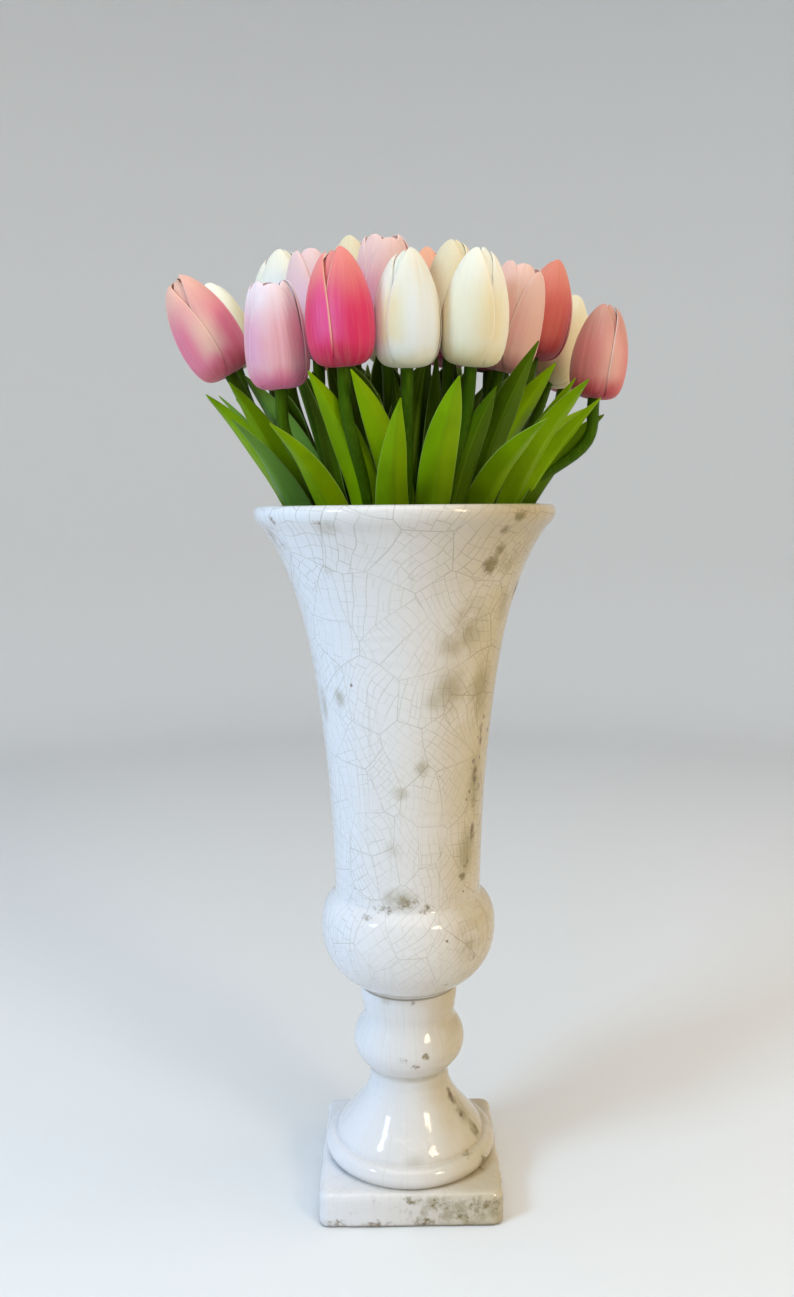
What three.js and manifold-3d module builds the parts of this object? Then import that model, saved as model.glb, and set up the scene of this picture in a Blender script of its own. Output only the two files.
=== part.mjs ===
// Twenty-three cut tulips standing in a tall crackle-glazed pedestal vase.
// Millimetres, +Z up, origin at the centre of the plinth's underside, -Y is the front of the bunch.
// Each tulip is a bloom on its own stem. Thirteen of them carry a set of three or four leaves, which
// share a sheath round the stem. The stems stand on the floor of the vase round an empty core.
import * as THREE from "three";
import { mergeVertices } from "three/addons/utils/BufferGeometryUtils.js";
import Module from "manifold-3d";

const wasm = await Module();
wasm.setup();

// ---- Driving dimensions ----
const GAP = 0.3; // kept between neighbouring solids
const RIM_Z = 400;
const WALL = 5.5;
const VASE_SIDES = 28;
const BOWL_FLOOR_Z = 137;
const PLINTH = { side: 104, height: 20, corner: 5, bevel: 2.5 };
const STEM = { radius: 3.2, sides: 7, steps: 7 };
const STEM_FOOT_Z = BOWL_FLOOR_Z + 2.5;
const STEM_LIMIT = { shoulder: 37.5, rim: 61 }; // how far from the axis a stem gets inside the trumpet
const NECK_Z = 200; // the narrowest part of the bowl
const SHOULDER_Z = 300;
const BLOOM = { length: 58, sides: 12 };
const SHEATH = { start: 336, length: 26, wall: 1.1 };
const BLADE = { thickness: 1.1, across: 2, along: 6 };

// Finishes, as colour, roughness and metalness.
const FINISH = {
  glaze: [0xe2ddd2, 0.25],
  stem: [0x6f9440, 0.55],
  leaf: [0x4c7f22, 0.5],
  white: [0xf4f2e6, 0.6],
  cream: [0xf0e6bd, 0.6],
  lilac: [0xe6b9cf, 0.6],
  blush: [0xe3a8a2, 0.6],
  rose: [0xd9447c, 0.6],
  coral: [0xd4566a, 0.6],
};

// The tulips: where the head's base is (x, y, z), how many degrees it leans outwards, its size
// against BLOOM.length, and its colour. Each leaf is its tip (x, y, z), its width and its roll, and
// where it bows sideways, how far its middle is pulled along x and y.
const TULIPS = [
  { at: [-92, -20, 469], lean: 30, size: 0.98, colour: "coral",
    leaves: [[-105, -25, 459, 16, 60], [-88, -50, 444, 19, 40],
      [-91, -36, 464, 17, 60], [-74, -8, 468, 26, 40]] },
  { at: [-96, 34, 479], lean: 20, size: 0.9, colour: "cream",
    leaves: [[-104, 12, 462, 18, 40], [-100, 52, 464, 22, -10],
      [-78, 80, 472, 24, -25], [-80, 26, 476, 26, 20]] },
  { at: [-62.5, -50, 458], lean: 6, size: 0.93, colour: "lilac",
    leaves: [[-86, -14, 470, 17, 60], [-66, -75, 440, 18, 30, 6, 0],
      [-52, -36, 466, 18, -20], [-60, -15, 474, 26, 0]] },
  { at: [-70, 58, 491], lean: 8, size: 1, colour: "white" },
  { at: [-64, 18, 484.5], lean: 3, size: 1, colour: "white" },
  { at: [-45.5, -14, 478], lean: 3, size: 0.98, colour: "lilac" },
  { at: [-30, -65, 467], lean: 8, size: 0.98, colour: "rose",
    leaves: [[-47, -72, 465, 18, 35, 8, 0], [-47, -44, 468, 17, 30],
      [-13, -50, 456, 17, -20], [-30, -24, 475, 28, 0]] },
  { at: [-27, 20, 491.5], lean: 3, size: 1, colour: "cream" },
  { at: [-8.5, -19, 483], lean: 3, size: 1, colour: "lilac" },
  { at: [1.4, -58, 467], lean: 7, size: 0.99, colour: "white",
    leaves: [[-2, -90, 450, 18, 10, -12, 0], [-26, -77, 465, 17, 40, 8, 0],
      [-5, -34, 468, 17, 0], [12, -24, 476, 28, 0]] },
  { at: [13.5, 36, 491], lean: 3, size: 0.96, colour: "coral" },
  { at: [25.5, -2, 487.5], lean: 3, size: 0.94, colour: "cream" },
  { at: [33.6, -52, 468], lean: 9, size: 1, colour: "cream",
    leaves: [[26, -88, 460, 19, -25, -12, 0], [17, -32, 478, 20, 10],
      [46, -60, 458, 16, -30], [40, -6, 474, 28, 0]] },
  { at: [50.5, -23.5, 469], lean: 15, size: 0.98, colour: "blush",
    leaves: [[67, -60, 480, 22, -50], [80, -30, 473, 19, -50],
      [70, -75, 441, 20, -35, 4, 0], [64, 2, 472, 26, 0]] },
  { at: [72.5, 10, 480], lean: 13, size: 0.95, colour: "coral" },
  { at: [85, 44, 470], lean: 22, size: 0.95, colour: "cream" },
  { at: [99, 78, 469], lean: 21, size: 0.88, colour: "coral",
    leaves: [[109, 46, 456, 18, -40], [92, 98, 462, 20, 10], [74, 104, 470, 22, 25]] },
  { at: [104, -6, 456], lean: 8, size: 0.88, colour: "blush",
    leaves: [[90, -31, 465, 18, -60], [95, -44, 463, 19, -45],
      [106, -18, 456, 18, -55, 8, 0], [110, -6, 448, 16, -40, 14, 0]] },
  { at: [50, 36, 476], lean: 5, size: 0.95, colour: "rose" },
  { at: [-40, 84, 485], lean: 12, size: 0.98, colour: "rose",
    leaves: [[-66, 98, 482, 24, -20], [-44, 110, 492, 26, 5],
      [-22, 106, 490, 24, 20], [-44, 50, 488, 28, 0]] },
  { at: [-6, 78, 487], lean: 10, size: 1.02, colour: "cream",
    leaves: [[-26, 108, 488, 24, -15], [4, 110, 494, 26, 5],
      [-4, 60, 474, 18, 0], [-14, 42, 490, 28, 0]] },
  { at: [28, 78, 485], lean: 11, size: 0.98, colour: "lilac",
    leaves: [[14, 110, 490, 24, -20], [38, 110, 490, 26, 5],
      [52, 96, 474, 20, 20], [31, 53, 487, 28, 0]] },
  { at: [63, 74, 483], lean: 14, size: 1, colour: "white",
    leaves: [[58, 108, 484, 24, -20], [86, 96, 470, 22, 10], [64, 50, 472, 18, 20]] },
];

// ---- Shapes ----
const v2 = (x, y) => new THREE.Vector2(x, y);
const v3 = (x, y, z) => new THREE.Vector3(x, y, z);
const radians = THREE.MathUtils.degToRad;
const spline = (points, divisions) => new THREE.SplineCurve(points.map((p) => v2(...p))).getPoints(divisions);

function arc(x, z, radius, from, to, divisions) {
  return new THREE.EllipseCurve(x, z, radius, radius, radians(from), radians(to), to < from).getPoints(divisions);
}

// A closed geometry as a solid, so that it can be joined to others and cut.
function solid(geometry) {
  const bare = geometry.index ? geometry.toNonIndexed() : geometry.clone();
  bare.deleteAttribute("normal");
  bare.deleteAttribute("uv");
  const merged = mergeVertices(bare, 1e-3);
  return new wasm.Manifold(
    new wasm.Mesh({
      numProp: 3,
      vertProperties: merged.attributes.position.array,
      triVerts: new Uint32Array(merged.index.array),
    }),
  );
}

function geometryOf(manifold) {
  const mesh = manifold.getMesh();
  const geometry = new THREE.BufferGeometry();
  geometry.setAttribute("position", new THREE.BufferAttribute(mesh.vertProperties, 3));
  geometry.setIndex(new THREE.BufferAttribute(mesh.triVerts, 1));
  geometry.computeVertexNormals();
  return geometry;
}

// A lathe turned round Z: the profile holds (radius, height) points from axis to axis, outside first.
const turned = (profile, sides) =>
  new THREE.LatheGeometry(profile.map((p) => v2(Math.abs(p.x) < 1e-6 ? 0 : p.x, p.y)), sides).rotateX(Math.PI / 2);

// ---- Vase: a trumpet bowl on a turned stem and a square plinth, one fired piece ----
const TRUMPET = [
  [77.6, 386.4], [70.6, 374], [60.5, 347.5], [52.8, 313.5], [47.4, 272], [43.7, 230], [42.2, 190], [42, 178.5],
];
const BULGE = [[42, 178.5], [44.6, 176], [48.6, 171.5], [50.8, 160], [48.9, 144.5], [40, 131], [28.6, 123.5]];
const KNOP = [[26.4, 101], [30.6, 97.6], [32.8, 88], [31, 80], [24.4, 73.4], [23, 71.8]];
const FLARE = [[23, 71.8], [23.2, 63.5], [26.2, 55.4], [32.4, 46.6], [38.6, 39.4], [42.4, 34.4]];

function vaseProfile() {
  const outside = [
    ...arc(80, 396, 4, 90, -60, 4),
    ...spline(TRUMPET, 8),
    ...spline(BULGE, 8).slice(1),
    v2(26.4, 106),
    ...spline(KNOP, 6),
    ...spline(FLARE, 5).slice(1),
    ...arc(44.5, 25.8, 6, 100, -70, 4),
    v2(44, 10),
    v2(0, 10),
  ];
  const wallInside = spline(TRUMPET, 6).map((p) => v2(p.x - WALL, p.y)).reverse();
  const inside = [
    v2(0, BOWL_FLOOR_Z),
    v2(36, BOWL_FLOOR_Z),
    v2(43, 149),
    v2(44.6, 160),
    v2(41, 172),
    ...wallInside,
    ...arc(80, 396, 4, 180, 110, 2),
  ];
  return [...inside, ...outside].reverse();
}

function plinthShape() {
  const half = PLINTH.side / 2 - PLINTH.bevel;
  const r = PLINTH.corner;
  const shape = new THREE.Shape();
  shape.absarc(half - r, half - r, r, 0, Math.PI / 2);
  shape.absarc(r - half, half - r, r, Math.PI / 2, Math.PI);
  shape.absarc(r - half, r - half, r, Math.PI, 1.5 * Math.PI);
  shape.absarc(half - r, r - half, r, 1.5 * Math.PI, 2 * Math.PI);
  return shape;
}

function vase() {
  const plinth = new THREE.ExtrudeGeometry(plinthShape(), {
    depth: PLINTH.height - 2 * PLINTH.bevel,
    bevelThickness: PLINTH.bevel,
    bevelSize: PLINTH.bevel,
    bevelSegments: 2,
    curveSegments: 4,
  }).translate(0, 0, PLINTH.bevel);
  return solid(turned(vaseProfile(), VASE_SIDES)).add(solid(plinth));
}

// ---- Stems ----
function outward([x, y]) {
  return v3(x, y, 0).normalize();
}

function bloomAxis({ at, lean }) {
  return outward(at).multiplyScalar(Math.sin(radians(lean))).add(v3(0, 0, Math.cos(radians(lean))));
}

// A stem stands on the bowl's floor, passes the neck and follows the trumpet out to its bloom. Its
// distance from the vase's axis at each height follows the bloom's own, so no two stems meet.
function stemCurve(tulip) {
  const [x, y, z] = tulip.at;
  const reach = Math.hypot(x, y);
  const out = outward(tulip.at);
  const at = (radius, height) => out.clone().multiplyScalar(radius).setZ(height);
  const top = v3(x, y, z).addScaledVector(bloomAxis(tulip), -GAP);
  return new THREE.CatmullRomCurve3([
    at(9 + 0.19 * reach, STEM_FOOT_Z),
    at(9 + 0.19 * reach, NECK_Z),
    at(Math.min(9 + 0.27 * reach, STEM_LIMIT.shoulder), SHOULDER_Z),
    at(Math.min(6 + 0.56 * reach, STEM_LIMIT.rim), RIM_Z),
    top.clone().addScaledVector(bloomAxis(tulip), -22),
    top,
  ]);
}

function tube(curve, radius, steps) {
  const section = new THREE.Shape();
  section.setFromPoints(new THREE.EllipseCurve(0, 0, radius, radius).getPoints(STEM.sides).slice(0, -1));
  return new THREE.ExtrudeGeometry(section, { extrudePath: curve, steps, bevelEnabled: false });
}

const stem = (tulip, grow = 0) => solid(tube(stemCurve(tulip), STEM.radius + grow, STEM.steps));

// ---- Blooms: a closed cup of six petals, three outer and three inner, open at the tip ----
const BLOOM_OUTSIDE = [[0, 0], [9.5, 1.5], [14.8, 8], [16.9, 20], [15.9, 35], [12.4, 48], [6.2, 58]];
const BLOOM_INSIDE = [[4, 54], [12, 32], [0, 8]];

function bloom(tulip, grow = 1) {
  const profile = [...BLOOM_OUTSIDE, ...BLOOM_INSIDE].map((p) => v2(...p));
  const cup = turned(profile, BLOOM.sides);
  const place = cup.getAttribute("position");
  const p = v3();
  for (let i = 0; i < place.count; i++) {
    p.fromBufferAttribute(place, i);
    const height = p.z / BLOOM.length;
    const lobe = Math.cos(3 * Math.atan2(p.y, p.x));
    const swell = 1 + 0.05 * lobe * height;
    place.setXYZ(i, p.x * swell, p.y * swell, p.z - 2 * lobe * height * height);
  }
  const axis = bloomAxis(tulip);
  cup.scale(...Array(3).fill(tulip.size * grow));
  cup.applyQuaternion(new THREE.Quaternion().setFromUnitVectors(v3(0, 0, 1), axis));
  return solid(cup.translate(...tulip.at));
}

// ---- Leaves ----
// Half the blade's width along its length: narrow at the sheath, widest near the middle, then a point.
// The innermost leaf of a set is the broadest near its tip.
function halfWidth(t, width, inner) {
  const [widest, blunt] = inner ? [0.62, 3] : [0.45, 2.1];
  const rise = 0.4 + 0.6 * Math.sin((Math.PI / 2) * Math.min(1, t / widest));
  const fall = 1 - Math.max(0, (t - widest) / (1 - widest)) ** blunt;
  return (width / 2) * rise * fall + 0.25;
}

// A leaf leaves its stem along the stem, then bends out to its tip, cupped towards the stem.
function blade(base, along, [x, y, z, width, roll, bowX = 0, bowY = 0], inner, grow) {
  const tip = v3(x, y, z);
  const knee = base.clone().addScaledVector(along, 0.5 * base.distanceTo(tip)).add(v3(bowX, bowY, 0));
  const rib = new THREE.QuadraticBezierCurve3(base, knee, tip);
  const facing = v3(base.x + 2 * tip.x, base.y + 2 * tip.y, 0).normalize();
  const box = new THREE.BoxGeometry(1, 1, 1, BLADE.across, BLADE.along, 1);
  const place = box.getAttribute("position");
  for (let i = 0; i < place.count; i++) {
    const t = place.getY(i) + 0.5;
    const tangent = rib.getTangent(t);
    const normal = facing.clone().addScaledVector(tangent, -facing.dot(tangent)).normalize();
    normal.applyAxisAngle(tangent, radians(roll) * (0.4 + 0.6 * t));
    const side = tangent.clone().cross(normal);
    const cup = STEM.radius + 1.9 + 26 * t; // the section's radius of curvature
    const clear = (STEM.radius + 1.2) * (1 - t) ** 2;
    const angle = (2 * place.getX(i) * (halfWidth(t, width, inner) + grow)) / cup;
    const skin = cup + place.getZ(i) * (BLADE.thickness * (1 - 0.4 * t) + 2 * grow);
    const point = rib.getPoint(t);
    point.addScaledVector(side, skin * Math.sin(angle));
    point.addScaledVector(normal, clear + skin * Math.cos(angle) - cup);
    place.setXYZ(i, ...point);
  }
  return solid(box);
}

// Where a curve that climbs all the way passes a height.
function atHeight(curve, height) {
  let [low, high] = [0, 1];
  while (high - low > 1e-4) {
    const middle = (low + high) / 2;
    if (curve.getPointAt(middle).z < height) low = middle;
    else high = middle;
  }
  return low;
}

// The blades joined by the sheath that holds them round their stem.
function leafSet(tulip, grow = 0) {
  const curve = stemCurve(tulip);
  const from = atHeight(curve, SHEATH.start);
  const to = atHeight(curve, SHEATH.start + SHEATH.length);
  const stretch = [0, 0.5, 1].map((s) => curve.getPointAt(from + s * (to - from)));
  const bore = (STEM.radius + GAP) / Math.cos(Math.PI / STEM.sides);
  let set = solid(tube(new THREE.CatmullRomCurve3(stretch), bore + SHEATH.wall + grow, 2));
  tulip.leaves.forEach((leaf, i) => {
    const u = from + (to - from) * (0.1 + 0.2 * i);
    set = set.add(blade(curve.getPointAt(u), curve.getTangentAt(u), leaf, i === 3, grow));
  });
  return set;
}

const touches = (a, b) => {
  const [p, q] = [a.boundingBox(), b.boundingBox()];
  return [0, 1, 2].every((k) => p.min[k] < q.max[k] && q.min[k] < p.max[k]);
};

// Cuts a leaf set back from what is already placed, and keeps its main piece.
function cleared(set, neighbours) {
  for (const other of neighbours) if (touches(set, other)) set = set.subtract(other);
  return set.decompose().sort((a, b) => b.volume() - a.volume())[0];
}

// ---- Assembly ----
const group = new THREE.Group();

function add(name, manifold, finish) {
  const [color, roughness] = FINISH[finish];
  const material = new THREE.MeshStandardMaterial({ color, roughness, metalness: 0 });
  const mesh = new THREE.Mesh(geometryOf(manifold), material);
  mesh.name = name;
  group.add(mesh);
}

add("vase", vase(), "glaze");
const placed = []; // grown by GAP, so that what is cut by them keeps clear of them
TULIPS.forEach((tulip, i) => {
  const number = String(i + 1).padStart(2, "0");
  const head = bloom(tulip);
  add(`stem_${number}`, stem(tulip), "stem");
  add(`bloom_${number}`, head, tulip.colour);
  placed.push(stem(tulip, GAP), bloom(tulip, 1.03));
});
TULIPS.forEach((tulip, i) => {
  if (!tulip.leaves) return;
  add(`leaves_${String(i + 1).padStart(2, "0")}`, cleared(leafSet(tulip), placed), "leaf");
  placed.push(leafSet(tulip, GAP));
});

export default group;
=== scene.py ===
"""Cut tulips in a tall crackle-glazed pedestal vase, modelled round its measured solids.

Each operator in the Tulips panel models one group of pieces: the vase, the stems, the leaf sets,
the blooms, and the stage with its camera and lights. Sizes in the planting list are millimetres.
"""

import math
import random
from contextlib import contextmanager
from itertools import pairwise
from typing import NamedTuple

import bmesh
import bpy
from mathutils import Matrix, Vector


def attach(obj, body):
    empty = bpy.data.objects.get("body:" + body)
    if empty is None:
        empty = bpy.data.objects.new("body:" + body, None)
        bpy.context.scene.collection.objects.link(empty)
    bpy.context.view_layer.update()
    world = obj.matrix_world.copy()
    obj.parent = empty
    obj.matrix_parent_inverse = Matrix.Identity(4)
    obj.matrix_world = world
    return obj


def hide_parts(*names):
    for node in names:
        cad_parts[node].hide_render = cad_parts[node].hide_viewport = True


bl_info = {
    "name": "Tulips in a Pedestal Vase",
    "version": (1, 0, 0),
    "blender": (4, 5, 0),
    "location": "View3D > Sidebar > Tulips",
    "description": "Models a bunch of cut tulips standing in a crackle-glazed pedestal vase",
    "category": "Add Mesh",
}

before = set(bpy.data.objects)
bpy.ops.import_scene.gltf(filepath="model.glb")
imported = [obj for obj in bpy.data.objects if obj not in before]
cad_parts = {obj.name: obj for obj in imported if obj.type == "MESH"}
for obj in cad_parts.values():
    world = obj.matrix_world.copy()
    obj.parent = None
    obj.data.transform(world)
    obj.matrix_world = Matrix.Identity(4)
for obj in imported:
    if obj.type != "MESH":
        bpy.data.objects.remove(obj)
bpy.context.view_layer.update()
MM = 0.001
UP = Vector((0, 0, 1))


# ---- The planting list ----
class Leaf(NamedTuple):
    """A leaf's tip, its widest width, how far it rolls round its rib, its paleness and its sideways bow. Low
    paleness also darkens the leaf with painted shade.
    """

    tip: tuple
    width: float
    roll: float
    pale: float
    bow: tuple = (0, 0)


class Tulip(NamedTuple):
    """A bloom's base, lean, size, form, lapping hand, turn, finish and leaves. Lean and turn: degrees."""

    at: tuple
    lean: float
    size: float
    form: str
    hand: int
    turn: float
    finish: str
    leaves: tuple = ()


TULIPS = (
    Tulip((-92, -20, 469), 30, 0.98, "tight", 1, 66, "peach", (
        Leaf((-105, -25, 459), 16, 60, 0.5), Leaf((-88, -50, 444), 19, 40, 1),
        Leaf((-91, -36, 464), 17, 60, 0.2), Leaf((-74, -8, 468), 26, 40, 0))),
    Tulip((-96, 34, 479), 20, 0.9, "tight", 1, 10, "butter", (
        Leaf((-104, 12, 462), 18, 40, 0.8), Leaf((-100, 52, 464), 22, -10, 0.3),
        Leaf((-78, 80, 472), 24, -25, 0.2), Leaf((-80, 26, 476), 26, 20, 0))),
    Tulip((-62.5, -50, 458), 6, 0.93, "open", -1, 12, "lilac", (
        Leaf((-86, -14, 470), 17, 60, 0.9), Leaf((-66, -75, 440), 18, 30, 0.3, (6, 0)),
        Leaf((-52, -36, 466), 18, -20, 0.1), Leaf((-60, -15, 474), 26, 0, 0))),
    Tulip((-70, 58, 491), 8, 1, "tight", -1, 40, "white"),
    Tulip((-64, 18, 484.5), 3, 1, "tight", 1, -20, "white"),
    Tulip((-45.5, -14, 478), 3, 0.98, "open", 1, 60, "pale_lilac"),
    Tulip((-30, -65, 467), 8, 0.98, "tight", 1, 42, "magenta", (
        Leaf((-47, -72, 465), 18, 35, 0.3, (8, 0)), Leaf((-47, -44, 468), 17, 30, 0),
        Leaf((-13, -50, 456), 17, -20, 0.1), Leaf((-30, -24, 475), 28, 0, 0))),
    Tulip((-27, 20, 491.5), 3, 1, "tight", 1, 0, "cream"),
    Tulip((-8.5, -19, 483), 3, 1, "open", -1, 20, "shell"),
    Tulip((1.4, -58, 467), 7, 0.99, "tight", -1, 30, "white", (
        Leaf((-2, -90, 450), 18, 10, 0.45, (-12, 0)), Leaf((-26, -77, 465), 17, 40, 0.3, (8, 0)),
        Leaf((-5, -34, 468), 17, 0, 0), Leaf((12, -24, 476), 28, 0, 0))),
    Tulip((13.5, 36, 491), 3, 0.96, "loose", 1, 0, "apricot"),
    Tulip((25.5, -2, 487.5), 3, 0.94, "tight", 1, -30, "cream"),
    Tulip((33.6, -52, 468), 9, 1, "tight", 1, -34, "butter", (
        Leaf((26, -88, 460), 19, -25, 0.45, (-12, 0)), Leaf((17, -32, 478), 20, 10, 0),
        Leaf((46, -60, 458), 16, -30, 0.1), Leaf((40, -6, 474), 28, 0, 0))),
    Tulip((50.5, -23.5, 469), 15, 0.98, "open", -1, 59, "dusty", (
        Leaf((67, -60, 480), 22, -50, 0.1), Leaf((80, -30, 473), 19, -50, 0.35),
        Leaf((70, -75, 441), 20, -35, 0.4, (4, 0)), Leaf((64, 2, 472), 26, 0, 0))),
    Tulip((72.5, 10, 480), 13, 0.95, "loose", -1, 20, "crimson"),
    Tulip((85, 44, 470), 22, 0.95, "tight", 1, 0, "cream"),
    Tulip((99, 78, 469), 21, 0.88, "tight", 1, 20, "shell", (
        Leaf((109, 46, 456), 18, -40, 0.3), Leaf((92, 98, 462), 20, 10, 0.1),
        Leaf((74, 104, 470), 22, 25, 0.1))),
    Tulip((104, -6, 456), 8, 0.88, "tight", -1, -42, "rosewood", (
        Leaf((90, -31, 465), 18, -60, 0.3), Leaf((95, -44, 463), 19, -45, 0.25),
        Leaf((106, -18, 456), 18, -55, 0.35, (8, 0)), Leaf((110, -6, 448), 16, -40, 0.1, (14, 0)))),
    Tulip((50, 36, 476), 5, 0.95, "loose", 1, 0, "garnet"),
    Tulip((-40, 84, 485), 12, 0.98, "loose", 1, 10, "magenta", (
        Leaf((-66, 98, 482), 24, -20, 0.1), Leaf((-44, 110, 492), 26, 5, 0.1),
        Leaf((-22, 106, 490), 24, 20, 0.1), Leaf((-44, 50, 488), 28, 0, 0))),
    Tulip((-6, 78, 487), 10, 1.02, "tight", -1, 35, "cream", (
        Leaf((-26, 108, 488), 24, -15, 0.1), Leaf((4, 110, 494), 26, 5, 0.1),
        Leaf((-4, 60, 474), 18, 0, 0.1), Leaf((-14, 42, 490), 28, 0, 0))),
    Tulip((28, 78, 485), 11, 0.98, "open", 1, 0, "lilac", (
        Leaf((14, 110, 490), 24, -20, 0.1), Leaf((38, 110, 490), 26, 5, 0.1),
        Leaf((52, 96, 474), 20, 20, 0.1), Leaf((31, 53, 487), 28, 0, 0))),
    Tulip((63, 74, 483), 14, 1, "tight", 1, 15, "white", (
        Leaf((58, 108, 484), 24, -20, 0.1), Leaf((86, 96, 470), 22, 10, 0.1),
        Leaf((64, 50, 472), 18, 20, 0))),
)

# Each petal finish: its slot, then the colours of tip, belly, base, flanks and edge in hundredths. The edge
# colour is partly a painted highlight on the rim, and the white flanks are partly painted warm light.
PETAL_FINISHES = {
    "peach": ("petal_coral", (80, 42, 33), (78, 17, 26), (62, 11, 15), (82, 47, 37), (88, 62, 46)),
    "butter": ("petal_cream", (86, 80, 64), (84, 75, 54), (70, 58, 30), (82, 66, 38), (90, 85, 68)),
    "lilac": ("petal_lilac", (86, 66, 68), (79, 37, 41), (70, 12, 26), (75, 32, 45), (90, 76, 76)),
    "pale_lilac": ("petal_lilac", (82, 56, 54), (80, 54, 58), (70, 32, 44), (78, 54, 66), (88, 66, 60)),
    # The white finish's yellow flanks are partly a cream flush and partly painted warm light.
    "white": ("petal_white", (78, 72, 58), (83, 82, 77), (72, 64, 40), (82, 66, 34), (88, 85, 76)),
    "cream": ("petal_cream", (72, 63, 42), (77, 64, 38), (68, 52, 24), (75, 56, 25), (88, 82, 66)),
    "magenta": ("petal_rose", (80, 22, 20), (74, 1.6, 11), (48, 0.3, 5), (80, 8.5, 28), (90, 62, 36)),
    "shell": ("petal_lilac", (80, 52, 47), (74, 34, 37), (56, 9, 17), (70, 26, 34), (90, 70, 62)),
    "apricot": ("petal_coral", (78, 36, 22), (74, 32, 21), (60, 16, 14), (70, 22, 20), (52, 8, 6)),
    "dusty": ("petal_blush", (77, 46, 38), (70, 38, 29), (56, 21, 19), (66, 32, 27), (88, 70, 60)),
    "crimson": ("petal_coral", (66, 20, 13.5), (60, 9.5, 7), (40, 2, 3), (52, 3, 4.5), (84, 50, 36)),
    "rosewood": ("petal_blush", (54, 25, 19), (64, 19, 17), (44, 1.4, 3), (76, 37, 29), (88, 70, 58)),
    "garnet": ("petal_rose", (52, 6, 10), (40, 3, 6), (30, 2, 4), (40, 1, 6), (70, 30, 26)),
}


# ---- What a user would change ----
class VaseSettings(bpy.types.PropertyGroup):
    """Sizes and colours of the vase."""

    plinth: bpy.props.FloatProperty(
        name="Plinth side", description="Width of the square plinth", default=0.104, unit="LENGTH")
    plinth_height: bpy.props.FloatProperty(
        name="Plinth height", description="Thickness of the square plinth", default=0.020, unit="LENGTH")
    glaze: bpy.props.FloatVectorProperty(
        name="Glaze", description="Colour of the clean glaze", default=(0.705, 0.675, 0.655), subtype="COLOR")
    craze: bpy.props.FloatVectorProperty(
        name="Craze lines", description="Colour in the cracks", subtype="COLOR", default=(0.33, 0.30, 0.23))
    wear: bpy.props.FloatVectorProperty(
        name="Wear", description="Colour of the stains", subtype="COLOR", default=(0.135, 0.072, 0.022))


class StemSettings(bpy.types.PropertyGroup):
    """Sizes and colours of the stems."""

    radius: bpy.props.FloatProperty(
        name="Stem radius", description="Radius of every stem", default=0.0032, unit="LENGTH")
    green: bpy.props.FloatVectorProperty(
        name="Stem green", description="Colour of the stems", subtype="COLOR", default=(0.021, 0.060, 0.001))


class LeafSettings(bpy.types.PropertyGroup):
    """Sizes and colours of the leaves."""

    thickness: bpy.props.FloatProperty(
        name="Leaf thickness", description="Thickness of a leaf", default=0.0008, unit="LENGTH")
    bright: bpy.props.FloatVectorProperty(
        name="Bright green", description="Colour of a blade", subtype="COLOR", default=(0.225, 0.385, 0.001))
    # Painted shade: the deep green darkens each blade towards its sheath, low in the bunch.
    deep: bpy.props.FloatVectorProperty(
        name="Deep green", description="Colour at the sheath", subtype="COLOR", default=(0.010, 0.050, 0.002))
    sage: bpy.props.FloatVectorProperty(
        name="Sage green", description="Colour of pale leaves", subtype="COLOR", default=(0.15, 0.31, 0.055))


class BloomSettings(bpy.types.PropertyGroup):
    """Sizes of the blooms."""

    thickness: bpy.props.FloatProperty(
        name="Petal thickness", description="Thickness of a petal", default=0.0005, unit="LENGTH")
    tuck: bpy.props.FloatProperty(
        name="Tuck", description="Gap between inner and outer petals", default=0.0010, unit="LENGTH")


class StageSettings(bpy.types.PropertyGroup):
    """The plain floor and backdrop, and the camera's lens."""

    floor: bpy.props.FloatVectorProperty(
        name="Floor", description="Colour of the floor", subtype="COLOR", default=(0.78, 0.79, 0.80))
    backdrop: bpy.props.FloatVectorProperty(
        name="Backdrop", description="Colour of the backdrop", subtype="COLOR", default=(0.72, 0.72, 0.72))
    lens: bpy.props.FloatProperty(
        name="Lens", description="Focal length in millimetres", default=30.81, unit="CAMERA")


# ---- Selecting and shaping ----
def deselect():
    bpy.ops.object.select_all(action="DESELECT")


def only(piece):
    """Selects one object and makes it active."""
    deselect()
    piece.select_set(True)
    bpy.context.view_layer.objects.active = piece


def titled(piece, name):
    """Gives an object and its data one name."""
    piece.name = piece.data.name = name
    return piece


def settle(piece):
    """Puts an object's place into its mesh."""
    only(piece)
    bpy.ops.object.transform_apply(location=True, rotation=True, scale=True)
    return piece


def newest(name):
    """The object that was just added, named and settled."""
    return settle(titled(bpy.context.object, name))


def link(piece):
    """Puts a new object into the scene."""
    bpy.context.scene.collection.objects.link(piece)
    return piece


@contextmanager
def editing(piece):
    """Edit mode on one piece, with all of it selected."""
    only(piece)
    bpy.ops.object.mode_set(mode="EDIT")
    bpy.ops.mesh.select_all(action="SELECT")
    yield
    bpy.ops.object.mode_set(mode="OBJECT")


def pick(piece, chosen):
    """In edit mode, selects the vertices whose place passes a test, with the edges and faces between them."""
    bpy.ops.mesh.select_all(action="DESELECT")
    mesh = bmesh.from_edit_mesh(piece.data)
    for vertex in mesh.verts:
        vertex.select = bool(chosen(vertex.co))
    mesh.select_flush(True)
    bmesh.update_edit_mesh(piece.data)


def face_outwards(piece):
    """Turns the faces of an open sheet away from the vertical axis."""
    mesh = piece.data
    outward = sum(face.normal.xy.dot(face.center.xy) * face.area for face in mesh.polygons)
    if outward < 0:
        with editing(piece):
            bpy.ops.mesh.flip_normals()


def bearing_of(place):
    """How many degrees round the vertical axis a place lies from the front."""
    return math.degrees(math.atan2(place.x, -place.y))


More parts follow.
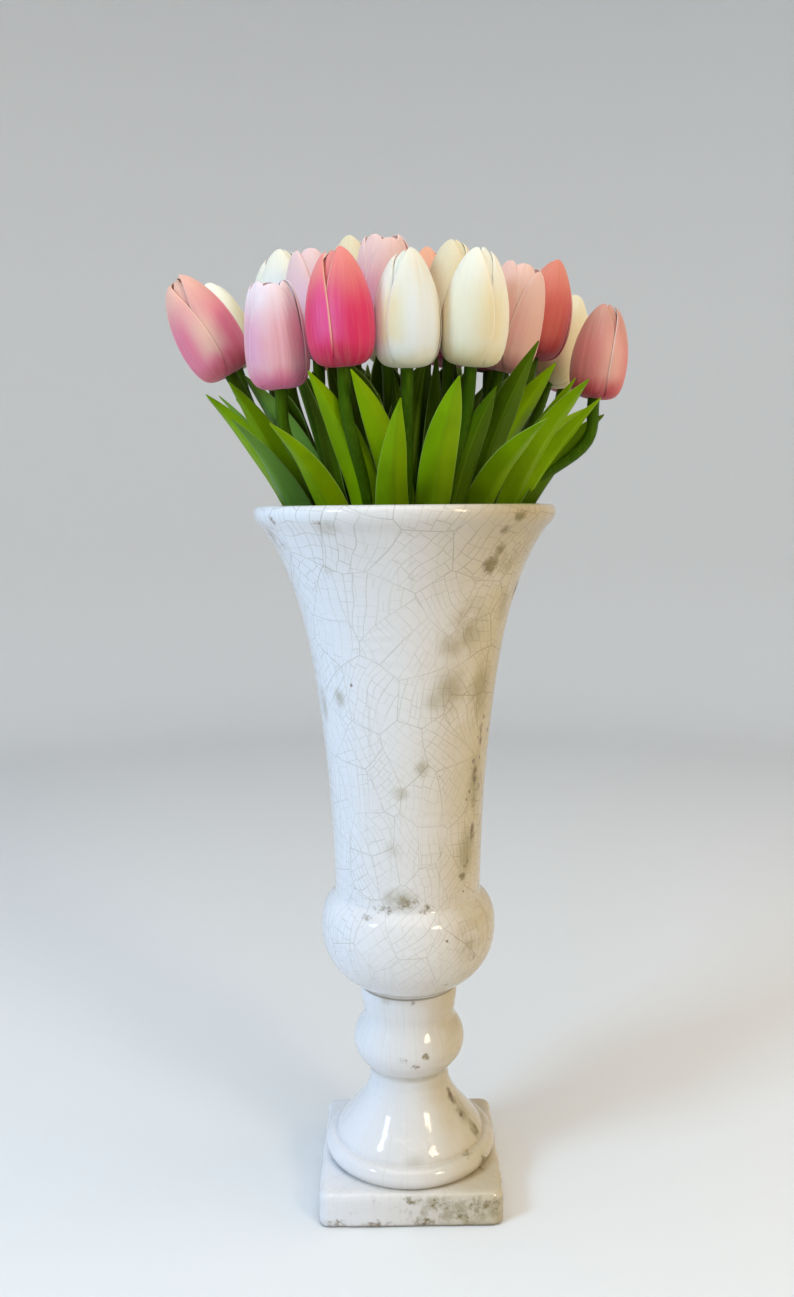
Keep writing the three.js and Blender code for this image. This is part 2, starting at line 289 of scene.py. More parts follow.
def draw_up(profile):
    """In edit mode, draws the selected ring up along a profile of radius and height."""
    for (r0, z0), (r1, z1) in pairwise(profile):
        bpy.ops.mesh.extrude_edges_move(TRANSFORM_OT_translate={"value": (0, 0, (z1 - z0) * MM)})
        bpy.ops.transform.resize(value=(r1 / r0, r1 / r0, 1), center_override=(0, 0, z1 * MM))


def lay_out(piece, across_along):
    """Gives each corner of a piece its share across and along the blade, worked out from its place."""
    layer = piece.data.uv_layers.get("blade") or piece.data.uv_layers.new(name="blade")
    for loop in piece.data.loops:
        layer.data[loop.index].uv = across_along(piece.data.vertices[loop.vertex_index].co)


def apply_all(piece):
    only(piece)
    for modifier in list(piece.modifiers):
        bpy.ops.object.modifier_apply(modifier=modifier.name)


def smooth(piece):
    """Adds a subdivision surface of one level."""
    rounded = piece.modifiers.new("rounded", "SUBSURF")
    rounded.levels = rounded.render_levels = 1


def thicken(piece, thickness, offset):
    wall = piece.modifiers.new("wall", "SOLIDIFY")
    wall.thickness = thickness
    wall.offset = offset
    wall.use_even_offset = True


def copy_of(piece, name):
    """A copy with its own mesh."""
    copy = piece.copy()
    copy.data = piece.data.copy()
    return link(titled(copy, name))


def place(piece, matrix):
    """Moves a piece by a matrix and puts the place into its mesh."""
    piece.matrix_world = matrix
    settle(piece)


def join(pieces, name):
    deselect()
    for piece in pieces:
        piece.select_set(True)
    bpy.context.view_layer.objects.active = pieces[0]
    bpy.ops.object.join()
    return titled(bpy.context.object, name)


def set_attribute(piece, name, value):
    """Gives every vertex of a piece one value that its finish can read."""
    layer = piece.data.attributes.get(name) or piece.data.attributes.new(name, "FLOAT", "POINT")
    layer.data.foreach_set("value", [value] * len(piece.data.vertices))


def discard(*pieces):
    for piece in pieces:
        data = piece.data
        bpy.data.objects.remove(piece)
        if isinstance(data, bpy.types.Mesh):
            bpy.data.meshes.remove(data)
        else:
            bpy.data.curves.remove(data)


def fix(piece, node, finish):
    """Gives a finished piece its material and smooth faces, sets it under the root body and hides the solid
    it stands for.
    """
    piece.data.materials.clear()
    piece.data.materials.append(finish)
    only(piece)
    bpy.ops.object.shade_smooth()
    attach(piece, "root")
    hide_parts(node)


def curve_through(name, points, tilts=None):
    """A curve through points in metres. Where tilts are given, they turn its section from level."""
    data = bpy.data.curves.new(name, "CURVE")
    data.dimensions = "3D"
    data.twist_mode = "Z_UP" if tilts else "MINIMUM"
    line = data.splines.new("POLY")
    line.points.add(len(points) - 1)
    for i, point in enumerate(points):
        line.points[i].co = (*point, 1)
        line.points[i].tilt = tilts[i] if tilts else 0
    return link(bpy.data.objects.new(name, data))


def swept(curve, radius, capped=False):
    """Gives a curve a round section and turns it into a mesh."""
    curve.data.bevel_depth = radius
    curve.data.bevel_resolution = 4
    curve.data.use_fill_caps = capped
    only(curve)
    bpy.ops.object.convert(target="MESH")
    return bpy.context.object


# ---- Shader maths ----
class Sock:
    """A number that comes out of a node. Arithmetic on it adds Math nodes."""

    def __init__(self, finish, socket):
        self.finish = finish
        self.socket = socket

    def math(self, operation, *values):
        return self.finish.node("ShaderNodeMath", {"operation": operation}, dict(enumerate(values)))

    def __add__(self, other):
        return self.math("ADD", self, other)

    def __sub__(self, other):
        return self.math("SUBTRACT", self, other)

    def __mul__(self, other):
        return self.math("MULTIPLY", self, other)

    def __truediv__(self, other):
        return self.math("DIVIDE", self, other)

    def __rsub__(self, other):
        return self.math("SUBTRACT", other, self)

    def __neg__(self):
        return self * -1

    def __abs__(self):
        return self.math("ABSOLUTE", self)

    __radd__ = __add__
    __rmul__ = __mul__

    def sine(self):
        return self.math("SINE", self)

    def below(self, other):
        return self.math("MINIMUM", self, other)

    def above(self, other):
        return self.math("MAXIMUM", self, other)

    def ramp(self, low, high, start=0.0, end=1.0):
        """Goes smoothly from start to end as the number goes from low to high."""
        values = {"Value": self, "From Min": low, "From Max": high, "To Min": start, "To Max": end}
        return self.finish.node("ShaderNodeMapRange", {"interpolation_type": "SMOOTHSTEP"}, values)


class Finish:
    """A material under construction."""

    def __init__(self, name):
        self.material = bpy.data.materials.new(name)
        self.material.use_nodes = True
        self.tree = self.material.node_tree
        self.surface = self.tree.nodes["Principled BSDF"]

    def node(self, kind, settings=None, values=None, output=0):
        """Adds a node: its settings are set first, then its sockets are given values or links."""
        made = self.tree.nodes.new(kind)
        for key, value in (settings or {}).items():
            setattr(made, key, value)
        for key, value in (values or {}).items():
            self.feed(made.inputs[key], value)
        return Sock(self, made.outputs[output])

    def feed(self, socket, value):
        if isinstance(value, Sock):
            self.tree.links.new(value.socket, socket)
        elif hasattr(value, "__len__") and socket.type == "RGBA" and len(value) == 3:
            socket.default_value = (*value, 1)
        else:
            socket.default_value = value

    def mix(self, amount, first, second, blend="MIX"):
        """Blends two colours by an amount."""
        settings = {"data_type": "RGBA", "blend_type": blend, "clamp_factor": True}
        return self.node("ShaderNodeMix", settings, {0: amount, 6: first, 7: second}, output=2)

    def split(self, vector):
        """The three parts of a vector."""
        made = self.tree.nodes.new("ShaderNodeSeparateXYZ")
        self.feed(made.inputs[0], vector)
        return [Sock(self, output) for output in made.outputs]

    def vector(self, x, y, z):
        return self.node("ShaderNodeCombineXYZ", None, {0: x, 1: y, 2: z})

    def place(self):
        return self.node("ShaderNodeTexCoord", output=3)

    def uv(self):
        return self.split(self.node("ShaderNodeUVMap", {"uv_map": "blade"}))[:2]

    def attribute(self, name):
        return self.node("ShaderNodeAttribute", {"attribute_name": name}, output=2)

    def noise(self, where, scale, detail=2.0, roughness=0.5):
        values = {"Vector": where, "Scale": scale, "Detail": detail, "Roughness": roughness}
        return self.node("ShaderNodeTexNoise", None, values)

    def bump(self, height, strength, distance, under=None):
        values = {"Strength": strength, "Distance": distance, "Height": height}
        if under:
            values["Normal"] = under
        return self.node("ShaderNodeBump", None, values)

    def shift(self, vector, amount):
        """A vector moved by another."""
        return self.node("ShaderNodeVectorMath", {"operation": "ADD"}, {0: vector, 1: amount})

    def scaled(self, vector, amount):
        return self.node("ShaderNodeVectorMath", {"operation": "SCALE"}, {0: vector, "Scale": amount})

    def stretched(self, vector, factors):
        return self.node("ShaderNodeVectorMath", {"operation": "MULTIPLY"}, {0: vector, 1: factors})

    def noise_vector(self, where, scale, detail=1.0):
        """A wandering vector about zero."""
        values = {"Vector": where, "Scale": scale, "Detail": detail}
        colour = self.node("ShaderNodeTexNoise", None, values, output=1)
        return self.shift(colour, (-0.5, -0.5, -0.5))

    def done(self, **sockets):
        """Feeds the surface's own sockets."""
        for name, value in sockets.items():
            self.feed(self.surface.inputs[name.replace("_", " ")], value)
        return self.material


# ---- The vase ----
OUTSIDE = (
    (76.4, 397.0), (77.4, 399.2), (79.6, 400), (82.2, 399.6), (83.7, 397.6), (84, 394.8), (83.0, 391.8),
    (80.6, 389.0), (77.8, 386.4), (74.4, 380.6), (70.6, 374), (65.1, 361), (60.5, 347.5), (56.8, 334),
    (52.8, 313.5), (50.0, 293), (47.4, 272), (45.4, 251), (43.7, 230), (42.8, 208), (42.1, 188),
    (41.9, 179.6), (42.2, 177.8), (44.0, 176.6), (47.2, 173.6), (49.7, 168.6), (50.8, 161), (50.5, 152.5),
    (48.7, 144.5), (45.0, 137.4), (39.8, 131.2), (34.0, 126.8), (29.4, 124.2), (28.2, 123.2),
    (27.6, 122.2), (28.3, 121.2), (28.4, 117), (27.3, 109), (26.4, 105), (26.9, 102), (29.6, 98.6),
    (32.2, 93.6), (32.8, 87.4), (31.4, 81.4), (28, 76.6), (24.4, 73.2), (23.1, 71.2), (23.1, 66),
    (23.8, 61), (26.0, 55.6), (29.4, 50.4), (33.2, 45.6), (36.8, 41.4), (39.8, 37.8), (42.0, 35),
    (43.2, 32.8), (43.1, 31.2), (43.6, 30.7), (45.2, 31.5), (48.4, 30.0), (50.3, 26.6), (50.2, 23.2),
    (48.4, 20.6), (46.4, 18.6), (40, 17.6),
)
INSIDE = (
    (75.6, 393.6), (73.4, 388.2), (68.6, 379.4), (62.6, 367), (55.0, 347.5), (47.3, 313.5), (42.0, 272),
    (38.2, 230), (36.8, 196), (37.2, 180), (41.2, 171), (44.4, 160), (43.0, 149), (39.8, 141.5),
    (35.0, 137.4), (12, 137), (2, 137),
)
LATHE_SIDES = 96
PLINTH_CORNER = 0.0065
PLINTH_TOP_EDGE = 0.0042
PLINTH_FOOT_EDGE = 0.0018
PLINTH_VOXEL = 0.0016
# How far the plinth's faces wander, how wide a wave is, and how low a vertex is levelled with the table.
PLINTH_WEAR = 0.0012
PLINTH_WAVE = 0.022
REST_BAND = 0.0006


def turn_on_wheel(name, profile, sides):
    """Raises a ring along a profile of radius and height, as clay on a wheel, and closes both ends."""
    radius, height = profile[0]
    deselect()
    bpy.ops.mesh.primitive_circle_add(vertices=sides, radius=radius * MM, location=(0, 0, height * MM))
    piece = newest(name)
    with editing(piece):
        draw_up(profile)
        bpy.ops.mesh.merge(type="CENTER")
        pick(piece, lambda co: abs(co.z - height * MM) < 1e-5 and co.xy.length > (radius - 0.01) * MM)
        bpy.ops.mesh.edge_face_add()
        bpy.ops.mesh.inset(thickness=radius * 0.5 * MM)
        bpy.ops.mesh.merge(type="CENTER")
        bpy.ops.mesh.select_all(action="SELECT")
        bpy.ops.mesh.normals_make_consistent(inside=False)
    return piece


def model_plinth(size):
    """A square slab with rounded corners and worn, slightly wavy faces."""
    deselect()
    side = size.plinth
    tall = size.plinth_height
    bpy.ops.mesh.primitive_cube_add(size=1, location=(0, 0, tall / 2), scale=(side, side, tall))
    plinth = newest("plinth")
    with editing(plinth):
        bpy.ops.mesh.select_mode(type="EDGE")
        bpy.ops.mesh.select_all(action="DESELECT")
        mesh = bmesh.from_edit_mesh(plinth.data)
        for edge in mesh.edges:
            edge.select = abs((edge.verts[0].co - edge.verts[1].co).z) > tall / 2
        bmesh.update_edit_mesh(plinth.data)
        bpy.ops.mesh.bevel(offset=PLINTH_CORNER, segments=6, affect="EDGES")
        bpy.ops.mesh.select_mode(type="VERT")
        pick(plinth, lambda co: co.z > tall - 1e-5)
        bpy.ops.mesh.bevel(offset=PLINTH_TOP_EDGE, segments=5)
        pick(plinth, lambda co: co.z < 1e-5)
        bpy.ops.mesh.bevel(offset=PLINTH_FOOT_EDGE, segments=3)
    remesh = plinth.modifiers.new("even", "REMESH")
    remesh.mode = "VOXEL"
    remesh.voxel_size = PLINTH_VOXEL
    wavy = bpy.data.textures.new("plinth_wear", "CLOUDS")
    wavy.noise_scale = PLINTH_WAVE
    worn = plinth.modifiers.new("worn", "DISPLACE")
    worn.texture = wavy
    worn.texture_coords = "LOCAL"
    worn.strength = PLINTH_WEAR
    worn.mid_level = 0.62
    apply_all(plinth)
    with editing(plinth):
        pick(plinth, lambda co: co.z < REST_BAND)
        bpy.ops.transform.resize(value=(1, 1, 0), center_override=(0, 0, 0))
    return plinth


# Where the glaze is worn: place in millimetres, reach, height against width, and strength.
VEILS = (
    (-70, -28, 382, 10, 1.2, 0.8), (-40, -70, 389, 10, 0.7, 0.6), (-40, -54, 367, 5, 1.0, 0.5),
    (33, -47, 337, 16, 1.3, 0.9), (24, -50, 327, 12, 1.0, 0.7), (23, -46, 302, 15, 1.2, 0.8),
    (40, -32, 300, 14, 1.6, 1.0), (-36, -35, 297, 6, 1.3, 0.8), (8, -45, 260, 6, 1.2, 0.8),
    (15, -48, 297, 9, 1.0, 0.6), (38, -25, 248, 11, 2.4, 0.8), (32, -28, 209, 10, 2.0, 0.9),
    (-5, -42, 186, 13, 0.7, 1.0), (-4, -45, 246, 7, 0.8, 0.6), (34, -38, 161, 15, 1.0, 0.8),
    (54, -28, 348, 11, 1.6, 0.9), (54, -44, 371, 10, 1.2, 0.9), (-7, -42, 214, 8, 1.0, 0.5),
    (-45, -20, 292, 6, 2.4, 0.8), (2, -39, 33, 9, 0.5, 0.5), (-14, -25, 121, 6, 0.8, 0.4),
    (30, -12, 46, 9, 2.0, 0.9), (-20, 55, 352, 22, 1.2, 0.8), (36, 30, 262, 18, 2.0, 0.7),
    (-38, 20, 214, 14, 2.2, 0.7), (-60, 46, 388, 16, 0.6, 0.8), (10, 50, 160, 16, 0.8, 0.7),
    (0, 30, 92, 10, 1.0, 0.5),
)
SPOTS = (
    (43, -52, 369, 9, 1.1, 1.0), (48, -53, 377, 6, 1.3, 0.9), (58, -60, 394, 9, 0.6, 0.9),
    (50, -59, 387, 6, 0.8, 0.8), (60, -16, 353, 7, 1.4, 0.9), (30, -30, 195, 5, 0.9, 1.0),
    (36, -24, 218, 5, 2.4, 0.8), (32, -28, 203, 5, 1.8, 0.6), (-13, -40, 180, 14, 0.35, 0.55),
    (0, -42, 184, 12, 0.7, 0.5), (-22, -38, 175, 8, 0.4, 0.6), (9, -41, 181, 8, 0.8, 0.5),
    (21, -46, 164, 2.0, 0.8, 1.0), (36, -36, 150, 6, 1.0, 0.5), (9, -31, 90, 4, 0.9, 1.0),
    (-4, -32, 88, 5, 0.7, 0.5), (3, -32, 84, 5, 0.7, 0.5), (24, -11, 55, 6, 2.0, 0.9),
    (30, -14, 46, 6, 1.8, 0.8), (38, -15, 37, 8, 1.1, 0.9), (40, -26, 24, 8, 1.0, 0.9),
    (33, -31, 30, 6, 1.0, 0.6), (37, -26, 253, 5, 3.4, 0.7), (41, -25, 276, 4, 3.0, 0.6),
    (37, -25, 236, 4, 2.4, 0.6), (56, -40, 380, 8, 0.8, 0.7), (20, -38, 136, 3, 0.7, 0.7),
    (2, -28, 121, 3, 1.4, 0.6), (16, -52, 14, 14, 0.6, 0.6), (38, -52, 12, 14, 0.7, 0.6),
    (28, -52, 7, 14, 0.6, 0.6), (0, -52, 16, 10, 0.5, 0.6), (48, -52, 12, 11, 0.9, 0.6),
    (-40, -52, 3, 12, 0.4, 0.6), (-17, -52, 2, 14, 0.4, 0.6), (8, -52, 3, 14, 0.5, 0.65),
    (-69, -46, 392, 6, 0.9, 0.6), (-65, -35, 379, 6, 1.4, 0.5), (-44, -70, 391, 6, 0.5, 0.6),
    (-30, 60, 366, 9, 1.0, 0.9), (44, 22, 246, 6, 2.6, 0.8), (-30, 38, 170, 8, 0.5, 0.8),
    (14, 52, 12, 12, 0.7, 0.8), (52, 16, 10, 11, 0.7, 0.8), (-52, 12, 8, 12, 0.6, 0.8),
    (20, 22, 86, 5, 1.0, 0.8), (70, 34, 390, 8, 0.6, 0.8),
)
PINHOLES = (
    (12, -51, 315, 1.4, 1.0, 1.0), (-29, -42, 305, 1.8, 1.1, 1.0), (42, -24, 284, 2.2, 1.4, 0.9),
    (40, -27, 278, 1.2, 1.0, 0.8), (45, -16, 275, 2.0, 1.6, 0.9), (41, -24, 270, 2.3, 1.8, 0.9),
    (39, -27, 273, 1.2, 1.0, 0.8), (36, -28, 260, 2.4, 1.3, 1.0), (40, -23, 261, 1.4, 1.8, 0.8),
    (37, -26, 254, 1.8, 1.6, 1.0), (35, -29, 256, 1.1, 1.0, 0.8), (37, -26, 249, 2.0, 1.2, 1.0),
    (40, -20, 244, 1.6, 2.0, 0.8), (34, -29, 243, 2.0, 1.0, 0.9), (36, -25, 240, 1.3, 1.4, 0.8),
    (32, -30, 239, 1.8, 1.2, 0.9), (36, -24, 231, 1.5, 1.6, 0.8), (31, -29, 186, 1.6, 1.0, 0.9),
    (17, -42, 255, 1.1, 1.0, 0.8), (-22, 46, 300, 1.6, 1.0, 1.0), (30, 40, 268, 2.0, 1.4, 1.0),
)
CRACK_PITCH = 0.0062
MEAN_RADIUS = 0.055
# Heights and reaches on the vase, in metres, between which a stain, the crazing, the tan side (partly stain,
# partly painted warm light) or the painted shadow along the foot comes or goes.
BOWL_START = (0.118, 0.160)
# The tan side, partly old stain and partly painted warm light, starts between these heights.
STAIN_AND_WARM_LIGHT_FROM = (0.03, 0.17)
LIP_SHADE = (0.345, 0.392)
SLAB_TOP = (0.0160, 0.0205)
SLAB_FOOT = (0.0, 0.0065)
RING_FOOT = (0.0192, 0.0222)
RING_REACH = (0.0462, 0.0510)
# Painted shadow: the heights of the dark line along the foot, where the plinth meets the floor.
FOOT_SHADOW_LINE = (0.0004, 0.0024)
# The heights of the two dark seams.
KNOB_SEAM = 0.0722
BULB_SEAM = 0.1222


def patches_of(f, where, patches):
    """The strongest of several soft round patches."""
    strongest = None
    for x, y, z, reach, tall, strength in patches:
        far = f.stretched(f.shift(where, (-x * MM, -y * MM, -z * MM)), (1.0, 1.0, 1.0 / tall))
        length = f.node("ShaderNodeVectorMath", {"operation": "LENGTH"}, {0: far}, output=1)
        patch = length.ramp(reach * 0.1 * MM, reach * MM, strength, 0.0)
        strongest = patch if strongest is None else strongest.above(patch)
    return strongest


def crazing(f, where):
    """Long cracks part the glaze into fields. Short ones cross inside each field, which lie their own way."""

    def unrolled(vector):
        """How far round the vase and how high."""
        x, y, z = f.split(vector)
        return x.math("ARCTAN2", x, -y) * MEAN_RADIUS, z

    bends = f.shift(where, f.scaled(f.noise_vector(where, 12.0, 1.0), 0.026))
    around, height = unrolled(bends)
    settings = {"voronoi_dimensions": "2D"}
    field = {"Vector": f.vector(around, height, 0.0), "Scale": 38.0}
    edge = f.node("ShaderNodeTexVoronoi", {**settings, "feature": "DISTANCE_TO_EDGE"}, field)
    long_cracks = edge.ramp(0.002, 0.012, 1.0, 0.0)
    dice = f.split(f.node("ShaderNodeTexVoronoi", settings, field, output=1))

    sway = f.scaled(f.noise_vector(where, 22.0, 1.0), 0.020)
    quiver = f.scaled(f.noise_vector(where, 85.0, 2.0), 0.0024)
    around, height = unrolled(f.shift(f.shift(where, sway), quiver))
    slant = (dice[0] - 0.5) * 1.9
    sine = slant.sine()
    cosine = (slant + math.pi / 2).sine()
    column = (around * cosine + height * sine) / CRACK_PITCH
    climb = (height * cosine - around * sine) / CRACK_PITCH
    stack = column.math("FLOOR", column)
    settings = {"noise_dimensions": "2D"}
    chance = f.node("ShaderNodeTexWhiteNoise", settings, {"Vector": f.vector(stack, dice[1] * 9.0, 0.0)})
    climb = climb + chance * 5.0
    row = climb.math("FLOOR", climb)
    keep = f.node("ShaderNodeTexWhiteNoise", settings, {"Vector": f.vector(stack, row, 0.0)})

    def line(number, width):
        """Full strength where a number is whole, fading out over a width."""
        return abs(number.math("FRACT", number) - 0.5).ramp(0.5 - width, 0.5 - width * 0.25)

    strong = f.noise(where, 26.0, 3.0).ramp(0.34, 0.62)
    weak = f.noise(f.shift(where, (0.3, 0.1, 0.2)), 33.0, 2.0).ramp(0.34, 0.60)
    rungs = line(climb, 0.042) * keep.ramp(0.16, 0.24)
    halves = line(column * 2.0, 0.070) * keep.ramp(0.58, 0.62) * 0.7
    fine = (line(column, 0.042) * 0.85).above(rungs * (weak * 0.6 + 0.4)).above(halves)
    fine = fine * (strong * 0.70 + 0.30)
    bowl = f.split(where)[2].ramp(*BOWL_START)
    return fine.above(long_cracks * (weak * 0.5 + 0.5)) * (bowl * 0.90 + 0.10)


def glaze_finish(size):
    """Ivory crackle glaze: craze lines, a tan right side that is partly old stain and partly painted warm
    light, painted bluish light on the left side, brown wear, a painted shadow along the foot, pinholes and a
    slow, wavy gloss.
    """
    f = Finish("crackle_glaze")
    where = f.place()
    x, y, z = f.split(where)
    cracks = crazing(f, where)
    grain = f.noise(where, 420.0, 3.0, 0.7)
    ragged = f.noise(where, 150.0, 4.0, 0.7)
    clouds = f.noise(where, 48.0, 4.0, 0.65)
    tone = f.noise(where, 9.0, 3.0)
    veils = patches_of(f, where, VEILS) * clouds.ramp(0.28, 0.58)
    stained = patches_of(f, where, SPOTS)
    spots = (stained * 0.50 + ragged * 0.60 + grain * 0.90).ramp(0.86, 1.24) * stained.ramp(0.02, 0.30)
    pinholes = (patches_of(f, where, PINHOLES) + grain * 0.5 + ragged * 0.4).ramp(0.78, 1.05)
    bearing = x.math("ARCTAN2", x, -y)
    # Partly old stain, partly painted warm light: the glaze turns tan on its right side.
    stain_and_warm_light = bearing.ramp(-0.15, 1.0) * bearing.ramp(2.3, 3.1, 1.0, 0.0) * z.ramp(*STAIN_AND_WARM_LIGHT_FROM, 0.90, 1.0)
    stain_and_warm_light = stain_and_warm_light * (clouds * 0.6 + tone * 0.8).ramp(0.40, 0.80, 0.60, 1.0)
    # Painted bluish light: the glaze turns bluish on its left side.
    painted_cool_light = bearing.ramp(-1.1, 0.0, 1.0, 0.0) * bearing.ramp(-3.1, -2.4)
    streaks = f.noise(f.vector(bearing * 9.0, z * 7.0, 0.0), 2.2, 4.0, 0.65).ramp(0.52, 0.76)
    slab = z.ramp(*SLAB_TOP, 1.0, 0.0)
    grime = (ragged * 0.9 + clouds * 0.9 + bearing.ramp(-0.9, 0.7) * 0.10).ramp(0.96, 1.20) * slab
    foot = z.ramp(*SLAB_FOOT, 1.0, 0.0) * (ragged + clouds).ramp(0.90, 1.20)
    reach = f.node("ShaderNodeVectorMath", {"operation": "LENGTH"}, {0: f.vector(x, y, 0.0)}, output=1)
    crease = reach.ramp(*RING_REACH, 1.0, 0.0) * z.ramp(*RING_FOOT, 1.0, 0.0) * clouds.ramp(0.30, 0.55)
    neck = abs(z - KNOB_SEAM).ramp(0.0004, 0.0034, 1.0, 0.0) * clouds.ramp(0.35, 0.60)
    seam = abs(z - BULB_SEAM).ramp(0.0002, 0.0011, 1.0, 0.0)
    # Painted shadow: a dark line along the foot, where the plinth meets the floor.
    painted_foot_shadow = z.ramp(*FOOT_SHADOW_LINE, 1.0, 0.0)

    glaze = f.mix(tone.ramp(0.35, 0.7), size.glaze, [c * k for c, k in zip(size.glaze, (0.96, 0.94, 0.90))])
    # Painted bluish light on the left side of the glaze.
    glaze = f.mix(painted_cool_light * 0.8, glaze, (0.77, 0.79, 0.86))
    # The tan side, partly old stain and partly painted warm light, is darker still towards the lip, and its
    # craze lines turn brown.
    glaze = f.mix(stain_and_warm_light * 0.88, glaze, (0.46, 0.36, 0.18))
    glaze = f.mix(stain_and_warm_light * z.ramp(*LIP_SHADE) * 0.55, glaze, (0.36, 0.27, 0.125))
    craze = f.mix(stain_and_warm_light, size.craze, (0.19, 0.145, 0.06))
    colour = f.mix(cracks * (0.58 + stain_and_warm_light * 0.16 + veils * 0.24), glaze, craze)
    colour = f.mix(veils * 0.72 + streaks * 0.14, colour, (0.255, 0.20, 0.075))
    olive = f.mix(clouds.ramp(0.4, 0.6), size.wear, (0.19, 0.145, 0.040))
    colour = f.mix((spots * 0.92).above(foot * 0.55).above(grime * 0.50), colour, olive)
    colour = f.mix((crease * 0.34).above(neck * 0.38), colour, (0.30, 0.27, 0.15))
    # A dark seam, and the painted shadow along the foot.
    colour = f.mix((seam * 0.75).above(painted_foot_shadow * 0.8), colour, (0.20, 0.165, 0.10))
    colour = f.mix(pinholes * 0.75, colour, (0.17, 0.10, 0.065))

    rough = 0.09 + cracks * 0.10 + (spots + grime) * 0.30 + foot * 0.3 + veils * 0.08
    swell = f.noise(where, 26.0, 1.0)
    skin = f.noise(where, 140.0, 2.0)
    normal = f.bump(swell, 0.34, 0.0024)
    normal = f.bump(skin, 0.10, 0.0005, normal)
    throwing = (z * 900.0 + swell * 9.0).sine() * clouds.ramp(0.4, 0.7)
    normal = f.bump(throwing, 0.16, 0.0007, normal)
    normal = f.bump(1.0 - (cracks * 0.4 + pinholes + spots * 0.4).below(1.0), 0.30, 0.0005, normal)
    return f.done(Base_Color=colour, Roughness=rough, Normal=normal, IOR=1.52)


class TULIP_OT_vase(bpy.types.Operator):
    """Turns the glazed vase and sets it on its square plinth"""

    bl_idname = "tulips.vase"
    bl_label = "Vase"

    def execute(self, context):
        size = context.scene.tulip_vase
        body = turn_on_wheel("vase_body", (*reversed(INSIDE), *OUTSIDE), LATHE_SIDES)
        smooth(body)
        apply_all(body)
        plinth = model_plinth(size)
        union = body.modifiers.new("luted", "BOOLEAN")
        union.operation = "UNION"
        union.solver = "EXACT"
        union.object = plinth
        apply_all(body)
        discard(plinth)
        fix(titled(body, "crackle_vase"), "vase", glaze_finish(size))
        return {"FINISHED"}


# ---- The stems ----
BOWL_FLOOR = 137.0
NECK = 200.0
SHOULDER = 300.0
RIM = 400.0
GAP = 0.3
# How far below its bloom a stem straightens, and how many steps it takes between two knots.
BLOOM_NECK = 22.0
STEM_STEPS = 8
# How far a stem runs on into its bloom, and how many of its last points are thicker, and by how much.
STEM_OVERLAP = 1.6
STEM_COLLAR_STEPS = 6
STEM_COLLAR = 1.04


def bloom_axis(tulip):
    """The way a bloom points: outwards from the vase's axis by its lean."""
    out = Vector((tulip.at[0], tulip.at[1], 0)).normalized()
    lean = math.radians(tulip.lean)
    return out * math.sin(lean) + UP * math.cos(lean)


def spline_through(points, steps):
    """Points along a smooth centripetal curve through the given ones."""
    ends = (points[0] * 2 - points[1], *points, points[-1] * 2 - points[-2])
    found = []
    for i in range(1, len(ends) - 2):
        p0, p1, p2, p3 = ends[i - 1:i + 3]
        t1 = (p1 - p0).length ** 0.5
        t2 = t1 + (p2 - p1).length ** 0.5
        t3 = t2 + (p3 - p2).length ** 0.5
        for j in range(steps):
            t = t1 + (t2 - t1) * j / steps
            a = p0.lerp(p1, t / t1)
            b = p1.lerp(p2, (t - t1) / (t2 - t1))
            c = p2.lerp(p3, (t - t2) / (t3 - t2))
            found.append(a.lerp(b, t / t2).lerp(b.lerp(c, (t - t1) / (t3 - t1)), (t - t1) / (t2 - t1)))
    return [*found, points[-1]]


def stem_points(tulip):
    """The stem from the bowl's floor, up the trumpet and out to the bloom, in millimetres."""
    x, y, z = tulip.at
    reach = math.hypot(x, y)
    out = Vector((x, y, 0)) / reach
    axis = bloom_axis(tulip)
    top = Vector((x, y, z)) - axis * GAP
    heights = (
        (9 + 0.19 * reach, BOWL_FLOOR + 2.5),
        (9 + 0.19 * reach, NECK),
        (min(9 + 0.27 * reach, 37.5), SHOULDER),
        (min(6 + 0.56 * reach, 61), RIM),
    )
    knots = [out * radius + UP * height for radius, height in heights]
    return spline_through([*knots, top - axis * BLOOM_NECK, top], STEM_STEPS)


def at_height(points, height):
    """Where a climbing line passes a height, and its direction there."""
    for low, high in pairwise(points):
        if high.z >= height:
            share = (height - low.z) / (high.z - low.z)
            return low.lerp(high, share), (high - low).normalized()
    raise ValueError(f"the stem never reaches {height} mm")


def stem_finish(size):
    """Deep green, paler along fine ribs."""
    f = Finish("stem_skin")
    where = f.place()
    along = f.stretched(where, (1.0, 1.0, 0.06))
    ribs = f.noise(along, 900.0, 2.0)
    patchy = f.noise(where, 60.0, 2.0)
    colour = f.mix(patchy.ramp(0.3, 0.7), size.green, [c * k for c, k in zip(size.green, (1.5, 1.35, 1.3))])
    colour = f.mix(ribs.ramp(0.45, 0.7) * 0.3, colour, (0.07, 0.15, 0.006))
    shine = {"Specular_IOR_Level": 0.3, "Specular_Tint": (0.62, 0.85, 0.10)}
    relief = f.bump(ribs, 0.15, 0.0004)
    return f.done(Base_Color=colour, Roughness=0.42 + ribs * 0.12, Normal=relief, **shine)


